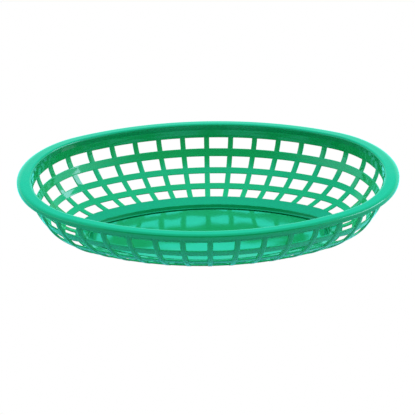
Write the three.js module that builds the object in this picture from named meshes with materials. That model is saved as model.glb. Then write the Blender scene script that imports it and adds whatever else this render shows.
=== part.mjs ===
// Oval serving basket with a lattice wall, a flat rim with a lip and a flat floor.
// Millimetres, +Z up, +X along the length, resting on the plane Z = 0.
import * as THREE from "three";

// Overall size over the rim
const LENGTH = 235;
const WIDTH = 151.5;
const HEIGHT = 44;

// Plan shape: two end arcs and two side arcs that run into each other smoothly
const END_RADIUS = 61.8;

// Inner face of the wall from the rim down: share of the spread inwards, share of the height
const WALL_TOP_INSET = 6.33;
const WALL_SPREAD = 34.77;
const WALL_LINE = [
  [0, 0.921],
  [0.0596, 0.715],
  [0.2498, 0.449],
  [0.4669, 0.263],
  [0.6938, 0.146],
  [1, 0.0711],
];

// Heights of the wall's courses, measured down along the wall line
const RIM_LEG = 0.5;
const UPPER_BAND = 5.32;
const ROW_1 = 7.0;
const HOOP_1 = 5.3;
const ROW_2 = 7.2;
const HOOP_2 = 4.15;
const ROW_3 = 6.75;
const HOOP_3 = 4.2;
const ROW_4 = 6.45;

// Thicknesses, measured outwards from the inner face of the wall
const BAND_THICKNESS = 0.95;
const RIB_STANDOUT = 0.5;
const EDGE_CHAMFER = 0.4;
const SEAM = 0.3;

// Ribs
const RIB_COUNT = 36;
const RIB_WIDTH = 3.4;
const RIB_FOOT_STANDOUT = 0.3;
const RIB_TOP_GAP = 0.3;

// Rim: a flat flange with rounded edges that turns down outside into a short lip
const RIM_LIP_DROP = 1.9;
const RIM_EDGE_RADIUS = 0.8;
const RIM_THICKNESS = 1.2;

// Foot ring and floor
const FOOT_RING_WIDTH = 2.5;
const FOOT_RING_HEIGHT = 2.8;
const FOOT_LEDGE = 1.75;
const FOOT_SLOPE = 1.2;
const FLOOR_THICKNESS = 1.1;

// Fineness of the round pieces: two facets to each rib
const RING_FACETS = 2 * RIB_COUNT;
const ARCH_STEPS = 4;
const RIB_STEP = 6;

// Centres of the arcs: an end's lies on the long axis, a side's beyond it
const endCentre = LENGTH / 2 - END_RADIUS;
const sideRadius =
  (endCentre ** 2 + (WIDTH / 2) ** 2 - END_RADIUS ** 2) / (WIDTH - 2 * END_RADIUS);
const sideCentre = sideRadius - WIDTH / 2;
const join = Math.atan2(sideCentre, endCentre);

// An oval at a given inset from the outermost edge of the rim: the same centres, smaller arcs.
// It starts at the middle of the back and goes round by the end on the right.
function ovalOf(inset) {
  const oval = new THREE.CurvePath();
  const arc = (x, y, radius, start, end) => {
    oval.add(new THREE.EllipseCurve(x, y, radius - inset, radius - inset, start, end, true));
  };
  arc(0, -sideCentre, sideRadius, Math.PI / 2, join);
  arc(endCentre, 0, END_RADIUS, join, -join);
  arc(0, sideCentre, sideRadius, -join, join - Math.PI);
  arc(-endCentre, 0, END_RADIUS, Math.PI + join, Math.PI - join);
  arc(0, -sideCentre, sideRadius, Math.PI - join, Math.PI / 2);
  return oval;
}

const ovals = new Map();
function ovalAt(inset) {
  const key = inset.toFixed(3);
  if (!ovals.has(key)) ovals.set(key, ovalOf(Number(key)));
  return ovals.get(key);
}

// The wall line as a curve, and a point at a distance down it and a depth outwards from it
const wallLine = new THREE.SplineCurve(
  WALL_LINE.map(
    ([inwards, up]) => new THREE.Vector2(WALL_TOP_INSET + inwards * WALL_SPREAD, up * HEIGHT),
  ),
);
wallLine.arcLengthDivisions = 600;
const wallLength = wallLine.getLength();

function onWall(down, depth) {
  const share = THREE.MathUtils.clamp(down / wallLength, 0, 1);
  const spot = wallLine.getPointAt(share);
  const run = wallLine.getTangentAt(share);
  return [spot.x + depth * run.y, spot.y - depth * run.x];
}

// Where each course starts and ends, as distances down the wall line
const bandTop = RIM_LEG;
const bandEnd = bandTop + UPPER_BAND;
const hoops = [];
let courseEnd = bandEnd;
for (const [row, hoop] of [
  [ROW_1, HOOP_1],
  [ROW_2, HOOP_2],
  [ROW_3, HOOP_3],
]) {
  const start = courseEnd + row;
  courseEnd = start + hoop;
  hoops.push([start, courseEnd]);
}
const baseTop = courseEnd + ROW_4;
const baseEnd = wallLength;

// Ribs are notched past the bands and hoops and stand out beyond them
const notch = BAND_THICKNESS + SEAM;
const ribDepth = notch + RIB_STANDOUT;

// A closed section of insets and heights carried round the oval
const CARRIER_RADIUS = LENGTH;
function ring(section) {
  const outline = section.map(
    ([inset, height]) => new THREE.Vector2(CARRIER_RADIUS - inset, height),
  );
  outline.push(outline[0].clone());
  const geometry = new THREE.LatheGeometry(outline, RING_FACETS);
  const position = geometry.attributes.position;
  for (let i = 0; i < position.count; i += 1) {
    const x = position.getX(i);
    const z = position.getZ(i);
    const turn = Math.atan2(x, z) / (2 * Math.PI);
    const inset = CARRIER_RADIUS - Math.hypot(x, z);
    const spot = ovalAt(inset).getPoint(turn < 0 ? turn + 1 : turn);
    position.setXYZ(i, spot.x, spot.y, position.getY(i));
  }
  geometry.computeVertexNormals();
  return geometry;
}

// A flat course of the wall with its inner edges chamfered
function courseRing(start, end) {
  return ring([
    onWall(start, BAND_THICKNESS),
    onWall(end, BAND_THICKNESS),
    onWall(end, EDGE_CHAMFER),
    onWall(end - EDGE_CHAMFER, 0),
    onWall(start + EDGE_CHAMFER, 0),
    onWall(start, EDGE_CHAMFER),
  ]);
}

// A rounded corner from upright to level, of a given radius about a centre
function roundCorner(inset, height, radius, outwards) {
  const corner = [];
  for (let step = 0; step <= ARCH_STEPS; step += 1) {
    const angle = (step / ARCH_STEPS) * (Math.PI / 2);
    corner.push([
      inset - outwards * radius * Math.cos(angle),
      height + radius * Math.sin(angle),
    ]);
  }
  return corner;
}

// The rim's section: up the lip, over the flat top and down the leg, then back underneath
function rimSection() {
  const lipHeight = HEIGHT - RIM_LIP_DROP;
  const roundHeight = HEIGHT - RIM_EDGE_RADIUS;
  const underside = HEIGHT - RIM_THICKNESS;
  const legEnd = RIM_LEG - SEAM;
  const [legInset] = onWall(0, 0);
  return [
    [RIM_THICKNESS, lipHeight],
    [0, lipHeight],
    ...roundCorner(RIM_EDGE_RADIUS, roundHeight, RIM_EDGE_RADIUS, 1),
    ...roundCorner(legInset - RIM_EDGE_RADIUS, roundHeight, RIM_EDGE_RADIUS, -1).reverse(),
    onWall(legEnd, 0),
    onWall(legEnd, BAND_THICKNESS),
    [legInset - BAND_THICKNESS, underside],
    [RIM_THICKNESS, underside],
  ].reverse();
}

// The ring that stands on the table and steps down from the wall to the floor
function footSection() {
  const outer = onWall(baseEnd, 0)[0] + SEAM;
  const inner = outer + FOOT_RING_WIDTH;
  return [
    [outer, 0],
    [inner, 0],
    [inner, FOOT_LEDGE - EDGE_CHAMFER],
    [inner - EDGE_CHAMFER, FOOT_LEDGE],
    [outer + FOOT_SLOPE, FOOT_LEDGE],
    [outer, FOOT_RING_HEIGHT],
  ];
}

// The floor: a flat oval plate set inside the foot ring
function floorPlate() {
  const edge = ovalAt(onWall(baseEnd, 0)[0] + FOOT_RING_WIDTH + 2 * SEAM);
  const outline = [];
  for (let i = 0; i < RING_FACETS; i += 1) outline.push(edge.getPoint(i / RING_FACETS));
  return new THREE.ExtrudeGeometry(new THREE.Shape(outline), {
    depth: FLOOR_THICKNESS,
    bevelEnabled: false,
  });
}

// A rib's side view: distance down the wall against depth, notched to clear the bands
function ribOutline() {
  const outline = [[RIB_TOP_GAP, notch]];
  const tooth = (start, end) => {
    outline.push([start, notch], [start, 0], [end, 0], [end, notch]);
  };
  let rowStart = bandEnd + SEAM;
  for (const [start, end] of hoops) {
    tooth(rowStart, start - SEAM);
    rowStart = end + SEAM;
  }
  tooth(rowStart, baseTop - SEAM);
  outline.push([baseEnd, notch], [baseEnd, notch + RIB_FOOT_STANDOUT]);
  const steps = Math.ceil((baseTop - RIB_TOP_GAP) / RIB_STEP);
  for (let step = 0; step <= steps; step += 1) {
    outline.push([THREE.MathUtils.lerp(baseTop, RIB_TOP_GAP, step / steps), ribDepth]);
  }
  return outline;
}

// One rib: its side view, curved as the wall is, cut from a plate that stands upright at its
// station round the oval. The plate's thickness lies along the wall's middle hoop.
function ribAt(turn) {
  const head = ovalAt(onWall(0, 0)[0]).getPoint(turn);
  const foot = ovalAt(onWall(baseEnd, 0)[0]).getPoint(turn);
  const inward = foot.sub(head).normalize();
  const along = ovalAt(onWall(hoops[1][0], 0)[0]).getTangent(turn);
  const sideView = ribOutline().map(([down, depth]) => {
    const [inset, height] = onWall(down, depth);
    const reach = ovalAt(inset).getPoint(turn).sub(head).dot(inward);
    return new THREE.Vector2(reach, height);
  });
  const plate = new THREE.ExtrudeGeometry(new THREE.Shape(sideView), {
    depth: RIB_WIDTH,
    bevelEnabled: false,
  });
  const place = new THREE.Matrix4().makeBasis(
    new THREE.Vector3(inward.x, inward.y, 0),
    new THREE.Vector3(0, 0, 1),
    new THREE.Vector3(-along.x, -along.y, 0),
  );
  place.setPosition(head.x, head.y, 0);
  return plate.translate(0, 0, -RIB_WIDTH / 2).applyMatrix4(place);
}

// The pieces
const group = new THREE.Group();
function addPiece(name, geometry) {
  const material = new THREE.MeshStandardMaterial({
    color: 0x1ab47a,
    roughness: 0.22,
    metalness: 0,
  });
  const mesh = new THREE.Mesh(geometry, material);
  mesh.name = name;
  group.add(mesh);
}

addPiece("rim", ring(rimSection()));
addPiece("upper_band", courseRing(bandTop, bandEnd));
addPiece("hoop_upper", courseRing(...hoops[0]));
addPiece("hoop_middle", courseRing(...hoops[1]));
addPiece("hoop_lower", courseRing(...hoops[2]));
addPiece("base_band", courseRing(baseTop, baseEnd));
addPiece("foot_ring", ring(footSection()));
addPiece("floor_panel", floorPlate());
for (let k = 0; k < RIB_COUNT; k += 1) {
  addPiece(`rib_${String(k + 1).padStart(2, "0")}`, ribAt(k / RIB_COUNT));
}

export default group;
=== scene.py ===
# %% [markdown]
# # An oval serving basket in glossy green plastic
# The real basket is one injection moulding: a flat rim, an open lattice wall that leans in
# towards the table, and a flat oval floor. This lesson rebuilds its visible surface piece by
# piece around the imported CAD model. The CAD model is loaded first, because it fixes the size and
# the place of every piece, so that no piece has to be fitted afterwards.

# %% Load the frame
import math

import bmesh
import bpy
import numpy as np
from mathutils import Matrix, Vector
from mathutils.geometry import interpolate_bezier


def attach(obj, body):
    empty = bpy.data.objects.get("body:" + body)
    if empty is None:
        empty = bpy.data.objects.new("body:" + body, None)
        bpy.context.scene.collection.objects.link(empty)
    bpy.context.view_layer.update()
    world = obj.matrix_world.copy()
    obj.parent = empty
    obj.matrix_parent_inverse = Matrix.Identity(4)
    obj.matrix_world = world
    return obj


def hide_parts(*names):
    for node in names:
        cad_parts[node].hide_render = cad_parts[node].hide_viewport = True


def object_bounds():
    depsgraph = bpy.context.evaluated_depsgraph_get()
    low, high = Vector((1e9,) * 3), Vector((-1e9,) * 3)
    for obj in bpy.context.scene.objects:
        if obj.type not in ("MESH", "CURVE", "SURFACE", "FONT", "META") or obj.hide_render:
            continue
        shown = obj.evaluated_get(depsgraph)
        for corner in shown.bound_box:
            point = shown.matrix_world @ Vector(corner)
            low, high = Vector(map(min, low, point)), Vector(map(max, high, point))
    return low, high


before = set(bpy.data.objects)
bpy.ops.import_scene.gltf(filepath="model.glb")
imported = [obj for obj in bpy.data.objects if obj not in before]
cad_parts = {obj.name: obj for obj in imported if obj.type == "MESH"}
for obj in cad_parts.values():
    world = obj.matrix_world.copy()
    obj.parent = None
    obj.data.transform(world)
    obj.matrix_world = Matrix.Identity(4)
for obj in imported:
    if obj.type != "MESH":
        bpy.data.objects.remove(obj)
cad_low, cad_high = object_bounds()
MM = 0.001
half_length = (cad_high.x - cad_low.x) / 2
half_width = (cad_high.y - cad_low.y) / 2
rim_height = cad_high.z
print("CAD nodes:", len(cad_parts))
print("CAD box in mm:", [round(v / MM, 1) for v in cad_high - cad_low])

# %% [markdown]
# ## The plan: a family of ovals
# Seen from above, the rim is an oval of four arcs, two round ends and two long sides, that run
# into each other smoothly. A stretched circle would be quicker to make, but its ends would be
# narrower than the basket's. Every lower level is the same oval moved inwards: the centres of the
# arcs stay, and only the radii shrink. So an oval is named by its inset, which is how far it lies
# inside the outermost edge of the rim. A place on it is a turn from 0 to 1 that starts at the
# middle of the back and goes round at an even pace, so that ribs stand at equal spacing.

# %% Ovals by inset and turn
END_RADIUS = 61.8 * MM
end_centre = half_length - END_RADIUS
side_radius = (end_centre**2 + half_width**2 - END_RADIUS**2) / (2 * (half_width - END_RADIUS))
side_centre = side_radius - half_width
join = math.atan2(end_centre, side_centre)


def on_oval(inset, turn, sideways=0.0):
    side, end = side_radius - inset, END_RADIUS - inset
    side_run = join * side
    quarter = side_run + (math.pi / 2 - join) * end
    # Quarters 0 to 3 run from the back to the right end, the front, the left end and the back
    number, run = divmod((turn * 4 * quarter + sideways) % (4 * quarter), quarter)
    if number % 2 == 1:
        run = quarter - run
    if run < side_run:
        x, y = side * math.sin(run / side), side * math.cos(run / side) - side_centre
    else:
        angle = join + (run - side_run) / end
        x, y = end_centre + end * math.sin(angle), end * math.cos(angle)
    return (x if number < 2 else -x), (y if number in (0, 3) else -y)


print("side arc in mm:", round(side_radius / MM, 1))

# %% [markdown]
# ## The wall line
# A cut through the wall shows one smooth line from the rim down to the floor: steep at first,
# then flattening out. Straight stretches would show as facets, so it is drawn as a chain of
# Bezier spans through six points. Any point of the wall is then a distance down that line and a
# depth outwards from it, so the lattice can be built flat and bent afterwards.

# %% The wall line as a chain of spans
WALL_TOP_INSET = 6.33 * MM
WALL_SPREAD = 34.77 * MM
# Each point is a share of the spread inwards and a share of the height
WALL_LINE = (
    (0.0, 0.921),
    (0.0596, 0.715),
    (0.2498, 0.449),
    (0.4669, 0.263),
    (0.6938, 0.146),
    (1.0, 0.0711),
)
SPAN_STEPS = 80
# A handle of a sixth of the step between a knot's two neighbours lets the spans join smoothly
HANDLE_DIVISOR = 6

knots = [
    Vector((WALL_TOP_INSET + share * WALL_SPREAD, level * rim_height, 0.0))
    for share, level in WALL_LINE
]
line = []
for i in range(len(knots) - 1):
    before = knots[max(i - 1, 0)]
    after = knots[min(i + 2, len(knots) - 1)]
    leaving = (knots[i + 1] - before) / HANDLE_DIVISOR
    arriving = (after - knots[i]) / HANDLE_DIVISOR
    span = interpolate_bezier(
        knots[i], knots[i] + leaving, knots[i + 1] - arriving, knots[i + 1], SPAN_STEPS
    )
    line.extend(span if i == 0 else span[1:])
print("points on the wall line:", len(line))

# %% A point on the wall from its distance down and its depth
wall_inset = np.array([point.x for point in line])
wall_level = np.array([point.y for point in line])
wall_down = np.concatenate(
    ([0.0], np.cumsum(np.hypot(np.diff(wall_inset), np.diff(wall_level))))
)
wall_length = float(wall_down[-1])
run_inset = np.gradient(wall_inset, wall_down)
run_level = np.gradient(wall_level, wall_down)


def on_wall(down, depth):
    inset = np.interp(down, wall_down, wall_inset) + depth * np.interp(down, wall_down, run_level)
    level = np.interp(down, wall_down, wall_level) - depth * np.interp(down, wall_down, run_inset)
    return float(inset), float(level)


print("wall line in mm:", round(wall_length / MM, 1))

# %% [markdown]
# ## How the ends differ from the sides
# At the two ends the flange of the rim is wider and the wall under it steeper, so the upper part
# of the wall is drawn inwards there. A thin moulding also never cools quite flat: the ends of the
# rim have risen by a millimetre. A Lattice modifier could bend the finished pieces, but one
# function that puts a point in its place is exact and serves the rings and the ribs alike.

# %% A point in its final place
END_DRAW = 3.2 * MM
END_RISE = 1.2 * MM
FLANGE_REACH = 4.5 * MM
STEEP_FROM = 18.0 * MM


def settle(inset, level, turn, sideways=0.0):
    x, y = on_oval(inset, turn, sideways)
    end_share = abs(x) / half_length
    height_share = max(0.0, (level - STEEP_FROM) / (rim_height - STEEP_FROM))
    draw = END_DRAW * min(1.0, inset / FLANGE_REACH) * height_share * end_share**2
    rise = END_RISE * level / rim_height * end_share**2
    return x - math.copysign(draw, x), y, level + rise


RIGHT_END = 0.25
rim_inside = settle(WALL_TOP_INSET, rim_height, RIGHT_END)
print("flange at the ends in mm:", round((half_length - rim_inside[0]) / MM, 1))

# %% [markdown]
# ## Making a ring
# The rim, the bands, the hoops and the foot are all rings of one section. A section starts as a
# few corners, the bevel operator rounds each corner as the mould does, and spin carries the
# outline round a plain circle. Then every point is moved from the circle to its oval, which
# keeps the mesh even where a hand-drawn sweep would twist. Edges that stay sharp are marked, so
# that smooth shading does not run round them.

# %% Rounding, spinning and finishing
ROUND_SEGMENTS = 5
RING_STEPS = 288
MERGE_DISTANCE = 0.001 * MM
SHARP_FROM = math.radians(40)
pieces = {}


def round_off(form, geom, rounding, affect):
    bmesh.ops.bevel(
        form, geom=geom, offset=rounding, offset_type="OFFSET", segments=ROUND_SEGMENTS,
        profile=0.5, affect=affect, material=-1,
    )


def spin_round(form):
    bmesh.ops.spin(
        form, geom=form.verts[:] + form.edges[:], cent=(0, 0, 0), axis=(0, 0, 1), dvec=(0, 0, 0),
        angle=2 * math.pi, steps=RING_STEPS, use_merge=True, use_duplicate=False,
    )


def turn_of(point):
    return math.atan2(point.x, point.y) / (2 * math.pi)


def add_object(name, form):
    mesh = bpy.data.meshes.new(name)
    form.to_mesh(mesh)
    form.free()
    added = bpy.data.objects.new(name, mesh)
    bpy.context.scene.collection.objects.link(added)
    return added


def finish_piece(name, form):
    bmesh.ops.remove_doubles(form, verts=form.verts[:], dist=MERGE_DISTANCE)
    bmesh.ops.recalc_face_normals(form, faces=form.faces[:])
    for face in form.faces:
        face.smooth = True
    piece = add_object(name, form)
    piece.data.set_sharp_from_angle(angle=SHARP_FROM)
    pieces[name] = piece
    print(name, len(piece.data.vertices), "vertices")


print("steps round a ring:", RING_STEPS)

# %% Rings from a section
# A corner of a section is its reach outwards, its height and its rounding. In a course of the
# wall, the reach is a depth, and the height is a distance down the wall line with a minus sign.
LONG_SIDE = 2 * MM
carrier_radius = half_length


def lay_by_inset(outwards, up):
    return -outwards, up


def lay_by_wall(outwards, up):
    return on_wall(-up, outwards)


def ring(name, section, lay, cuts=0):
    form = bmesh.new()
    corners = [
        form.verts.new((0.0, carrier_radius + outwards, up)) for outwards, up, _ in section
    ]
    # Rounding the corners needs the face between them, and spinning needs its outline alone
    form.faces.new(corners)
    for chosen_rounding in sorted({rounding for _, _, rounding in section if rounding > 0}):
        chosen = [
            corner for corner, (_, _, rounding) in zip(corners, section)
            if rounding == chosen_rounding
        ]
        round_off(form, chosen, chosen_rounding, "VERTICES")
    bmesh.ops.delete(form, geom=form.faces[:], context="FACES_ONLY")
    if cuts:
        long_sides = [edge for edge in form.edges if edge.calc_length() > LONG_SIDE]
        bmesh.ops.subdivide_edges(form, edges=long_sides, cuts=cuts)
    spin_round(form)
    for vert in form.verts:
        inset, level = lay(math.hypot(vert.co.x, vert.co.y) - carrier_radius, vert.co.z)
        vert.co = settle(inset, level, turn_of(vert.co))
    finish_piece(name, form)


print("circle that carries a section, radius in mm:", round(carrier_radius / MM, 1))

# %% [markdown]
# ## Bands and hoops
# The lattice's level bars and the plain bands above and below it are strips of the wall. Windows
# could be cut out of a whole wall, but separate bars keep their own rounded edges. Their heights
# are measured down the wall line, one after the other, with open rows between them. The upper
# band's lower edge is slanted, so that the band looks narrower from outside.

# %% Where each course starts and ends
RIM_LEG = 0.5 * MM
UPPER_BAND = 5.32 * MM
ROW_1, HOOP_1 = 7.0 * MM, 5.3 * MM
ROW_2, HOOP_2 = 7.2 * MM, 4.15 * MM
ROW_3, HOOP_3 = 6.75 * MM, 4.2 * MM
ROW_4 = 6.45 * MM

reached = RIM_LEG + UPPER_BAND
courses = {"upper_band": (RIM_LEG, reached)}
for name, row, hoop in (
    ("hoop_upper", ROW_1, HOOP_1), ("hoop_middle", ROW_2, HOOP_2), ("hoop_lower", ROW_3, HOOP_3),
):
    start = reached + row
    reached = start + hoop
    courses[name] = (start, reached)
courses["base_band"] = (reached + ROW_4, wall_length)
for name, (start, end) in courses.items():
    print(name, "from", round(start / MM, 2), "to", round(end / MM, 2), "mm down the wall")

# %% A ring for each course
BAND_THICKNESS = 0.95 * MM
BAR_ROUNDING = 0.28 * MM
BAND_CUTS = 5
BAND_SLANT = 1.3 * MM

for name, (start, end) in courses.items():
    top_rounding = 0.0 if name == "upper_band" else BAR_ROUNDING
    outer_end = end - BAND_SLANT if name == "upper_band" else end
    section = [
        (0.0, -start, top_rounding), (0.0, -end, BAR_ROUNDING),
        (BAND_THICKNESS, -outer_end, BAR_ROUNDING), (BAND_THICKNESS, -start, top_rounding),
    ]
    ring(name, section, lay_by_wall, BAND_CUTS)

# %% [markdown]
# ## The flat rim
# The top of the wall turns outwards into a flat flange and ends in a short lip, which is smooth
# to hold and stiffens the edge. Its section is drawn with sharp corners, and the bevel rounds the
# two top edges most, because they catch the light as bright lines. Inside, the rim leans a little
# and runs down into the wall without a break.

# %% Rim section
RIM_LIP_DROP = 3.5 * MM
RIM_OUTER_RADIUS = 1.6 * MM
RIM_INNER_RADIUS = 1.2 * MM
RIM_LEAN = 0.2 * MM
RIM_THICKNESS = 1.2 * MM
LIP_ROUNDING = 0.45 * MM

leg_inset = on_wall(0.0, 0.0)[0]
leg_end, leg_back = on_wall(RIM_LEG, 0.0), on_wall(RIM_LEG, BAND_THICKNESS)
lip = rim_height - RIM_LIP_DROP
underside = rim_height - RIM_THICKNESS
rim_section = [
    (-RIM_THICKNESS, lip, LIP_ROUNDING),
    (0.0, lip, LIP_ROUNDING),
    (0.0, rim_height, RIM_OUTER_RADIUS),
    (RIM_LEAN - leg_inset, rim_height, RIM_INNER_RADIUS),
    (-leg_end[0], leg_end[1], 0.0),
    (-leg_back[0], leg_back[1], 0.0),
    (BAND_THICKNESS - leg_inset, underside, 0.0),
    (-RIM_THICKNESS, underside, 0.0),
]
ring("rim", rim_section, lay_by_inset, BAND_CUTS)

# %% [markdown]
# ## Foot ring and floor
# A steep little step runs round the floor where the wall meets it. Inside the step lies a narrow
# ledge, then an undercut groove that shows as a dark line. The floor is a thin plate beyond the
# groove. It starts as half a section, and spin turns it into a disc whose points then stretch to
# the floor's oval. Its middle sinks by about half a millimetre, as a moulded plate does when it
# cools, which bends the windows of the wall mirrored in it.

# %% Foot ring
STEP_WIDTH = 3.5 * MM
STEP_SLOPE = 0.8 * MM
LEDGE_HEIGHT, LEDGE_WIDTH = 1.1 * MM, 0.7 * MM
GROOVE_BOTTOM = 0.15 * MM
UNDERCUT = 0.5 * MM
LEDGE_ROUNDING = 0.15 * MM
SHELF_OVERLAP = 0.1 * MM

end_inset, end_level = on_wall(wall_length, 0.0)
floor_edge = end_inset + STEP_WIDTH
step_foot = end_inset + STEP_SLOPE
ledge_edge = step_foot + LEDGE_WIDTH
foot_section = [
    (-end_inset + SHELF_OVERLAP, 0.0, 0.0),
    (-floor_edge - SHELF_OVERLAP, 0.0, 0.0),
    (-floor_edge - SHELF_OVERLAP, GROOVE_BOTTOM, 0.0),
    (-ledge_edge + UNDERCUT, GROOVE_BOTTOM, 0.0),
    (-ledge_edge, LEDGE_HEIGHT, LEDGE_ROUNDING),
    (-step_foot, LEDGE_HEIGHT, BAR_ROUNDING),
    (-end_inset, end_level - SHELF_OVERLAP, 0.0),
    (-end_inset + SHELF_OVERLAP, end_level - SHELF_OVERLAP, 0.0),
]
ring("foot_ring", foot_section, lay_by_inset)

# %% Floor panel
FLOOR_TOP = 1.1 * MM
FLOOR_DISH = 0.6 * MM
FLOOR_CUTS = 40

# The half section is one unit wide: a distance from the middle is a share of the way outwards
form = bmesh.new()
half_section = [
    form.verts.new((0.0, share, level))
    for share, level in ((0.0, FLOOR_TOP), (1.0, FLOOR_TOP), (1.0, 0.0), (0.0, 0.0))
]
top_edge, _, bottom_edge = [form.edges.new(ends) for ends in zip(half_section, half_section[1:])]
bmesh.ops.subdivide_edges(form, edges=[top_edge, bottom_edge], cuts=FLOOR_CUTS)
spin_round(form)
for vert in form.verts:
    share = math.hypot(vert.co.x, vert.co.y)
    edge_x, edge_y = on_oval(floor_edge, turn_of(vert.co))
    dish = FLOOR_DISH * (1 - share**2) if vert.co.z > 0 else 0.0
    vert.co = (edge_x * share, edge_y * share, vert.co.z - dish)
finish_piece("floor_panel", form)

# %% [markdown]
# ## The ribs
# Thirty-six upright bars cross the hoops. Inside, they lie flush with the hoops; outside, they
# stand proud and are narrower, because a moulded rib needs draft to leave the mould. Towards the
# foot they fade into the wall. One straight bar is cut from a cube, tapered, rounded and divided
# along its length. Each copy is then bent down the wall at its own place on the oval.

# %% One straight rib
RIB_INNER_WIDTH = 3.6 * MM
RIB_OUTER_WIDTH = 2.7 * MM
RIB_DEPTH = 1.45 * MM
RIB_FLUSH = 0.03 * MM
RIB_TOP_GAP = 0.3 * MM
RIB_FOOT_DEPTH = 0.9 * MM
RIB_INNER_ROUNDING = 0.28 * MM
RIB_OUTER_ROUNDING = 0.55 * MM
RIB_CUTS = 60
# An edge that runs further than this down the rib is a lengthwise one
LENGTHWISE = 20 * MM
fade_start = courses["hoop_upper"][1]


def lengthwise_edges(bar):
    return [
        edge for edge in bar.edges
        if abs(edge.verts[0].co.x - edge.verts[1].co.x) > LENGTHWISE
    ]


def straight_rib():
    bar = bmesh.new()
    bmesh.ops.create_cube(bar, size=1.0)
    for vert in bar.verts:
        outside = vert.co.y > 0
        width = RIB_OUTER_WIDTH if outside else RIB_INNER_WIDTH
        vert.co.x = RIB_TOP_GAP if vert.co.x < 0 else wall_length
        vert.co.y = RIB_DEPTH if outside else RIB_FLUSH
        vert.co.z = math.copysign(width / 2, vert.co.z)
    for depth, rounding in ((RIB_FLUSH, RIB_INNER_ROUNDING), (RIB_DEPTH, RIB_OUTER_ROUNDING)):
        edges_at_depth = [
            edge for edge in lengthwise_edges(bar)
            if all(abs(vert.co.y - depth) < MERGE_DISTANCE for vert in edge.verts)
        ]
        round_off(bar, edges_at_depth, rounding, "EDGES")
    bmesh.ops.subdivide_edges(
        bar, edges=lengthwise_edges(bar), cuts=RIB_CUTS, use_grid_fill=True
    )
    for vert in bar.verts:
        past = max(0.0, (vert.co.x - fade_start) / (wall_length - fade_start))
        limit = RIB_DEPTH + (RIB_FOOT_DEPTH - RIB_DEPTH) * past
        vert.co.y *= limit / RIB_DEPTH
    return bar


straight = straight_rib()
print("straight rib:", len(straight.verts), "vertices")

# %% Every rib at its place
RIB_COUNT = 36
for k in range(RIB_COUNT):
    bar = straight.copy()
    for vert in bar.verts:
        inset, level = on_wall(vert.co.x, vert.co.y)
        vert.co = settle(inset, level, k / RIB_COUNT, vert.co.z)
    finish_piece(f"rib_{k + 1:02d}", bar)
straight.free()

# %% [markdown]
# ## Moulded green plastic
# The plastic is coloured all through and takes the polish of the mould. Its surface is glossy
# but not perfect: it is very slightly wavy where the melt shrank, and the tone and the gloss
# change a little from place to place. One colour and one roughness would look like paint, so
# noise on Object coordinates varies them, with no need to unwrap the meshes. One node group gives
# the waviness, the tone and the gloss, and each material uses it with its own values.

# %% A node group and its sockets
surface = bpy.data.node_groups.new("Moulded surface", "ShaderNodeTree")
for label, way, kind in (
    ("Wave size", "INPUT", "NodeSocketFloat"),
    ("Wave depth", "INPUT", "NodeSocketFloat"),
    ("Lit inside colour", "INPUT", "NodeSocketColor"),
    ("Shaded outside colour", "INPUT", "NodeSocketColor"),
    ("Colour", "OUTPUT", "NodeSocketColor"),
    ("Roughness", "OUTPUT", "NodeSocketFloat"),
    ("Normal", "OUTPUT", "NodeSocketVector"),
):
    surface.interface.new_socket(label, in_out=way, socket_type=kind)
entry = surface.nodes.new("NodeGroupInput")
leave = surface.nodes.new("NodeGroupOutput")
place = surface.nodes.new("ShaderNodeTexCoord")
connect = surface.links.new
print("group sockets:", [item.name for item in surface.interface.items_tree])

# %% Waves in the surface and clouds in the gloss
WAVE_DETAIL = 1.0
WAVE_DISTANCE = 1 * MM
CLOUD_SCALE = 35.0
CLOUD_DETAIL = 3.0
GLOSS_LOW, GLOSS_HIGH = 0.05, 0.11

wave = surface.nodes.new("ShaderNodeTexNoise")
wave.inputs["Detail"].default_value = WAVE_DETAIL
bump = surface.nodes.new("ShaderNodeBump")
bump.inputs["Distance"].default_value = WAVE_DISTANCE
connect(place.outputs["Object"], wave.inputs["Vector"])
connect(entry.outputs["Wave size"], wave.inputs["Scale"])
connect(wave.outputs["Fac"], bump.inputs["Height"])
connect(entry.outputs["Wave depth"], bump.inputs["Strength"])
connect(bump.outputs["Normal"], leave.inputs["Normal"])

cloud = surface.nodes.new("ShaderNodeTexNoise")
cloud.inputs["Scale"].default_value = CLOUD_SCALE
cloud.inputs["Detail"].default_value = CLOUD_DETAIL
gloss = surface.nodes.new("ShaderNodeMapRange")
gloss.inputs["To Min"].default_value = GLOSS_LOW
gloss.inputs["To Max"].default_value = GLOSS_HIGH
connect(place.outputs["Object"], cloud.inputs["Vector"])
connect(cloud.outputs["Fac"], gloss.inputs["Value"])
connect(gloss.outputs["Result"], leave.inputs["Roughness"])
print("roughness from", GLOSS_LOW, "to", GLOSS_HIGH)

# %% [markdown]
# ## Painted light through a thin wall, and painted shade
# The thin wall lets some light through, so the inside looks lighter than the faces turned out and
# down, which also get less light. The shader could scatter light inside the plastic, but that is
# slow and noisy on so thin a shell. A mask paints this light and shade instead: it measures how
# far a face is turned outwards from the middle of the basket and down, and blends a painted lit
# colour with a painted shaded colour.

# %% Painted lit colour inside and painted shade outside
TURN_FROM, TURN_TO = 0.4, 0.85
TONE_LOW, TONE_HIGH = 0.92, 1.08


def vector_step(operation, source):
    step = surface.nodes.new("ShaderNodeVectorMath")
    step.operation = operation
    connect(source, step.inputs[0])
    return step


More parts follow.
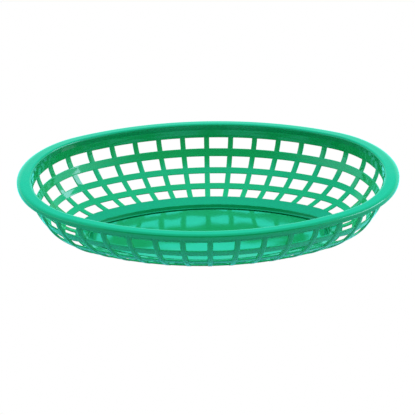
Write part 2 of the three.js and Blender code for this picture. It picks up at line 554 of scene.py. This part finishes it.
level_place = vector_step("MULTIPLY", place.outputs["Object"])
level_place.inputs[1].default_value = (1.0, 1.0, 0.0)
outwards = vector_step("NORMALIZE", level_place.outputs["Vector"])
out_and_down = vector_step("ADD", outwards.outputs["Vector"])
out_and_down.inputs[1].default_value = (0.0, 0.0, -1.0)
facing = vector_step("DOT_PRODUCT", out_and_down.outputs["Vector"])
connect(place.outputs["Normal"], facing.inputs[1])
# The further a face turns out and down, the more painted shade it gets in place of the lit colour
painted_shade_share = surface.nodes.new("ShaderNodeMapRange")
painted_shade_share.inputs["From Min"].default_value = TURN_FROM
painted_shade_share.inputs["From Max"].default_value = TURN_TO
connect(facing.outputs["Value"], painted_shade_share.inputs["Value"])

shade = surface.nodes.new("ShaderNodeMix")
shade.data_type = "RGBA"
connect(painted_shade_share.outputs["Result"], shade.inputs["Factor"])
connect(entry.outputs["Lit inside colour"], shade.inputs["A"])
connect(entry.outputs["Shaded outside colour"], shade.inputs["B"])
cloudy = surface.nodes.new("ShaderNodeMapRange")
cloudy.inputs["To Min"].default_value = TONE_LOW
cloudy.inputs["To Max"].default_value = TONE_HIGH
connect(cloud.outputs["Fac"], cloudy.inputs["Value"])
tone = surface.nodes.new("ShaderNodeHueSaturation")
connect(shade.outputs["Result"], tone.inputs["Color"])
connect(cloudy.outputs["Result"], tone.inputs["Value"])
connect(tone.outputs["Color"], leave.inputs["Colour"])
print("nodes in the group:", len(surface.nodes))

# %% [markdown]
# ## Four copies of the same plastic, painted lighter or darker
# The narrow bars of the lattice are lit from both sides, so their colour is painted lightest. The
# plain surfaces of the rim, the base and the upper band get less light, so their colours are
# painted deeper, and the floor is the waviest, so what it mirrors is bent most. One material could
# read all this from an attribute, but four short ones are easier to read and to change.

# %% Copies with painted light and shade
def green_plastic(name, wave_size, wave_depth, lit_inside, shaded_outside, ior):
    material = bpy.data.materials.new(name)
    material.use_nodes = True
    nodes = material.node_tree.nodes
    shader = nodes["Principled BSDF"]
    shader.inputs["IOR"].default_value = ior
    skin = nodes.new("ShaderNodeGroup")
    skin.node_tree = surface
    skin.inputs["Wave size"].default_value = wave_size
    skin.inputs["Wave depth"].default_value = wave_depth
    skin.inputs["Lit inside colour"].default_value = (*lit_inside, 1.0)
    skin.inputs["Shaded outside colour"].default_value = (*shaded_outside, 1.0)
    link = material.node_tree.links.new
    link(skin.outputs["Colour"], shader.inputs["Base Color"])
    link(skin.outputs["Roughness"], shader.inputs["Roughness"])
    link(skin.outputs["Normal"], shader.inputs["Normal"])
    return material


# Painted light and shade: the lattice's inside colour is painted lightest, as if lit from both
# sides, while the colours of faces turned out and down, of the rim's lip and of the upper band are
# painted shade, the lip's standing for the shade under it
LIT_THROUGH = (0.022, 0.185, 0.046)
SHADED = (0.002, 0.135, 0.032)
TURNED_IN = (0.006, 0.136, 0.039)
RIM_SHADED_LIP = (0.003, 0.122, 0.030)
SHADED_BAND = (0.005, 0.160, 0.036)
FLAT = (0.028, 0.152, 0.048)
lattice_lit_and_shaded = green_plastic(
    "lattice_plastic", wave_size=90.0, wave_depth=0.10, lit_inside=LIT_THROUGH, shaded_outside=SHADED, ior=1.5
)
rim_lit_and_shaded = green_plastic(
    "rim_plastic", wave_size=60.0, wave_depth=0.08, lit_inside=TURNED_IN, shaded_outside=RIM_SHADED_LIP, ior=1.5
)
band_lit_and_shaded = green_plastic(
    "band_plastic", wave_size=60.0, wave_depth=0.08, lit_inside=SHADED_BAND, shaded_outside=SHADED, ior=1.45
)
floor_finish = green_plastic(
    "floor_plastic", wave_size=40.0, wave_depth=0.40, lit_inside=FLAT, shaded_outside=FLAT, ior=1.6
)
for plastic_copy in (lattice_lit_and_shaded, rim_lit_and_shaded, band_lit_and_shaded, floor_finish):
    print("finish:", plastic_copy.name)

# %% Dress every piece
plastic_by_piece = {
    "rim": rim_lit_and_shaded, "upper_band": band_lit_and_shaded, "floor_panel": floor_finish,
    "base_band": rim_lit_and_shaded, "foot_ring": rim_lit_and_shaded,
}
for name, piece in pieces.items():
    piece.data.materials.append(plastic_by_piece.get(name, lattice_lit_and_shaded))
    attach(piece, "root")
    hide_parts(name)
print("dressed", len(pieces), "pieces")

# %% [markdown]
# ## Studio
# The basket stands on a plain white table inside a tent of soft bright light, which is open
# towards the camera. That dark opening is what a glossy basket mirrors in its upper band and in
# its floor, so it gives the shape its contrast. The camera itself sees the table and the room as
# plain white. Overexposed lamps would give that white too, but they would bleach the plastic.

# %% Table that only the camera sees as white
TABLE_SIZE = 6.0
TABLE_FRONT = -0.4
TABLE_GREY = 0.7
TABLE_ROUGHNESS = 0.9


def white_for_camera(tree, lit, white, output):
    ray = tree.nodes.new("ShaderNodeLightPath")
    choice = tree.nodes.new("ShaderNodeMixShader")
    tree.links.new(ray.outputs["Is Camera Ray"], choice.inputs["Fac"])
    tree.links.new(lit, choice.inputs[1])
    tree.links.new(white, choice.inputs[2])
    tree.links.new(choice.outputs["Shader"], output)


form = bmesh.new()
bmesh.ops.create_grid(form, x_segments=1, y_segments=1, size=TABLE_SIZE / 2)
bmesh.ops.translate(form, verts=form.verts[:], vec=(0.0, TABLE_FRONT + TABLE_SIZE / 2, 0.0))
table = add_object("table", form)
paper = bpy.data.materials.new("white_table")
paper.use_nodes = True
paper_nodes = paper.node_tree.nodes
paper_shader = paper_nodes["Principled BSDF"]
paper_shader.inputs["Base Color"].default_value = (TABLE_GREY, TABLE_GREY, TABLE_GREY, 1.0)
paper_shader.inputs["Roughness"].default_value = TABLE_ROUGHNESS
white_paper = paper_nodes.new("ShaderNodeEmission")
white_for_camera(
    paper.node_tree, paper_shader.outputs["BSDF"], white_paper.outputs["Emission"],
    paper_nodes["Material Output"].inputs["Surface"],
)
table.data.materials.append(paper)
print("table", TABLE_SIZE, "m wide, with its front edge at", TABLE_FRONT, "m")

# %% [markdown]
# ## The tent of light
# The tent is the world's background, bright everywhere but in front. Lamps round the basket would
# show as separate spots in the gloss. The reflections in the photograph are almost as green as
# the plastic, so the light is tinted like them. Low down it is paler, which sets off the back of
# the rim, because that mirrors a lower part of the tent than the front does.

# %% The tent and its opening
# In a unit direction, Y is -1 straight in front and Z is 1 straight up
FRONT_LIGHT, TENT_LIGHT = 0.2, 3.0
OPENING_FROM, OPENING_TO = -0.84, -0.55

world = bpy.data.worlds.new("studio")
world.use_nodes = True
bpy.context.scene.world = world
tent_nodes = world.node_tree.nodes
tent_link = world.node_tree.links.new
tent = tent_nodes["Background"]
direction = tent_nodes.new("ShaderNodeTexCoord")
split = tent_nodes.new("ShaderNodeSeparateXYZ")
opening = tent_nodes.new("ShaderNodeMapRange")
opening.interpolation_type = "SMOOTHSTEP"
opening.inputs["From Min"].default_value = OPENING_FROM
opening.inputs["From Max"].default_value = OPENING_TO
opening.inputs["To Min"].default_value = FRONT_LIGHT
opening.inputs["To Max"].default_value = TENT_LIGHT
tent_link(direction.outputs["Generated"], split.inputs["Vector"])
tent_link(split.outputs["Y"], opening.inputs["Value"])
tent_link(opening.outputs["Result"], tent.inputs["Strength"])
print("tent light", TENT_LIGHT, "and", FRONT_LIGHT, "in its opening")

# %% The tint of the tent and the white behind the basket
LOW_TINT = (0.22, 1.0, 1.0)
HIGH_TINT = (0.07, 0.97, 1.0)
TINT_FROM, TINT_TO = 0.43, 0.47

height = tent_nodes.new("ShaderNodeMapRange")
height.inputs["From Min"].default_value = TINT_FROM
height.inputs["From Max"].default_value = TINT_TO
tint = tent_nodes.new("ShaderNodeMix")
tint.data_type = "RGBA"
tint.inputs["A"].default_value = (*LOW_TINT, 1.0)
tint.inputs["B"].default_value = (*HIGH_TINT, 1.0)
tent_link(split.outputs["Z"], height.inputs["Value"])
tent_link(height.outputs["Result"], tint.inputs["Factor"])
tent_link(tint.outputs["Result"], tent.inputs["Color"])
backdrop = tent_nodes.new("ShaderNodeBackground")
backdrop.inputs["Color"].default_value = (1.0, 1.0, 1.0, 1.0)
white_for_camera(
    world.node_tree, tent.outputs["Background"], backdrop.outputs["Background"],
    tent_nodes["World Output"].inputs["Surface"],
)
print("tint changes from", LOW_TINT, "to", HIGH_TINT)

# %% [markdown]
# ## Softbox
# One lamp on the right adds the sharper glare that the photograph shows on the left of the wall.
# It stands high enough that the flat rim doesn't mirror it in low views from the left end.

# %% Softbox on the right
BOX_WIDTH, BOX_HEIGHT = 0.85, 0.32
BOX_LIGHT = 7.8
BOX_TINT = (0.60, 0.66, 1.0)
BOX_PLACE = Vector((0.92, -0.10, 0.58))

softbox = bpy.data.lights.new("softbox", "AREA")
softbox.shape = "RECTANGLE"
softbox.size = BOX_WIDTH
softbox.size_y = BOX_HEIGHT
# A flat lamp's power is its brightness times its area times pi
softbox.energy = BOX_LIGHT * BOX_WIDTH * BOX_HEIGHT * math.pi
softbox.color = BOX_TINT
softbox_lamp = bpy.data.objects.new("softbox", softbox)
softbox_lamp.location = BOX_PLACE
softbox_lamp.rotation_euler = BOX_PLACE.to_track_quat("Z", "Y").to_euler()
bpy.context.scene.collection.objects.link(softbox_lamp)
print("softbox power in watts:", round(softbox.energy, 2))

# %% [markdown]
# ## Camera
# The camera looks down at the basket's long side through a long lens, as the photograph does.
# Its place comes from the elevation, the distance and the point it looks at, worked out from the
# basket's known size. A tracking constraint could aim it, but not with this slight roll.

# %% Camera at the photograph's angle
ELEVATION = math.radians(29.104)
AZIMUTH = math.radians(-0.521)
ROLL = math.radians(-0.826)
DISTANCE = 898.0 * MM
TARGET = Vector((-0.65, 0.0, 20.15)) * MM
LENS = 124.896
SENSOR_WIDTH = 36.0

back = Vector((
    math.sin(AZIMUTH) * math.cos(ELEVATION),
    -math.cos(AZIMUTH) * math.cos(ELEVATION),
    math.sin(ELEVATION),
))
level_right = Vector((0.0, 0.0, 1.0)).cross(back).normalized()
level_up = back.cross(level_right)
right = level_right * math.cos(ROLL) + level_up * math.sin(ROLL)
up = level_up * math.cos(ROLL) - level_right * math.sin(ROLL)
lens = bpy.data.cameras.new("camera")
lens.lens = LENS
lens.sensor_width = SENSOR_WIDTH
camera = bpy.data.objects.new("camera", lens)
turned = Matrix((right, up, back)).transposed().to_4x4()
camera.matrix_world = Matrix.Translation(TARGET + back * DISTANCE) @ turned
bpy.context.scene.collection.objects.link(camera)
bpy.context.scene.camera = camera
bpy.context.scene.view_settings.view_transform = "Standard"
print("camera at", [round(v, 3) for v in camera.location])
